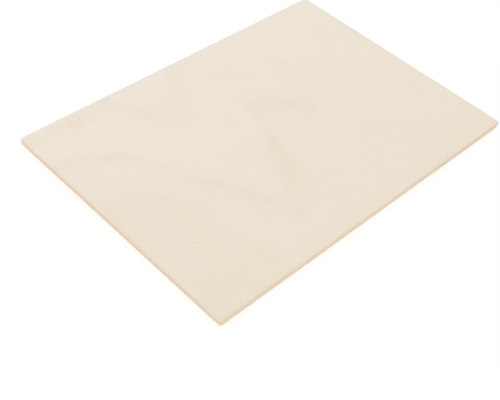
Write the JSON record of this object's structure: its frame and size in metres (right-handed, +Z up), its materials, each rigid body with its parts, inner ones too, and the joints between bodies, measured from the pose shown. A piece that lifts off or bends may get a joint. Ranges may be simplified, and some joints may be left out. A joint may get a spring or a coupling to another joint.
{
  "type": "plywood sheet",
  "caption": "Thin rectangular plywood sheet with a pale, smooth, fine-grained face, square sawn sides and lightly sanded edges, lying flat.",
  "frame": {"origin": "centre of the sheet's underside", "axes": "+X across the sheet, along the short side and the grain of the outer veneers; +Y along the long side; +Z up, out of the upper face"},
  "size_m": [0.21, 0.297, 0.005],
  "materials": {
    "plywood": "sanded bare birch veneer, matt, with sawn edges"
  },
  "bodies": {
    "root": {"plywood_sheet": "plywood"}
  },
  "joints": []
}
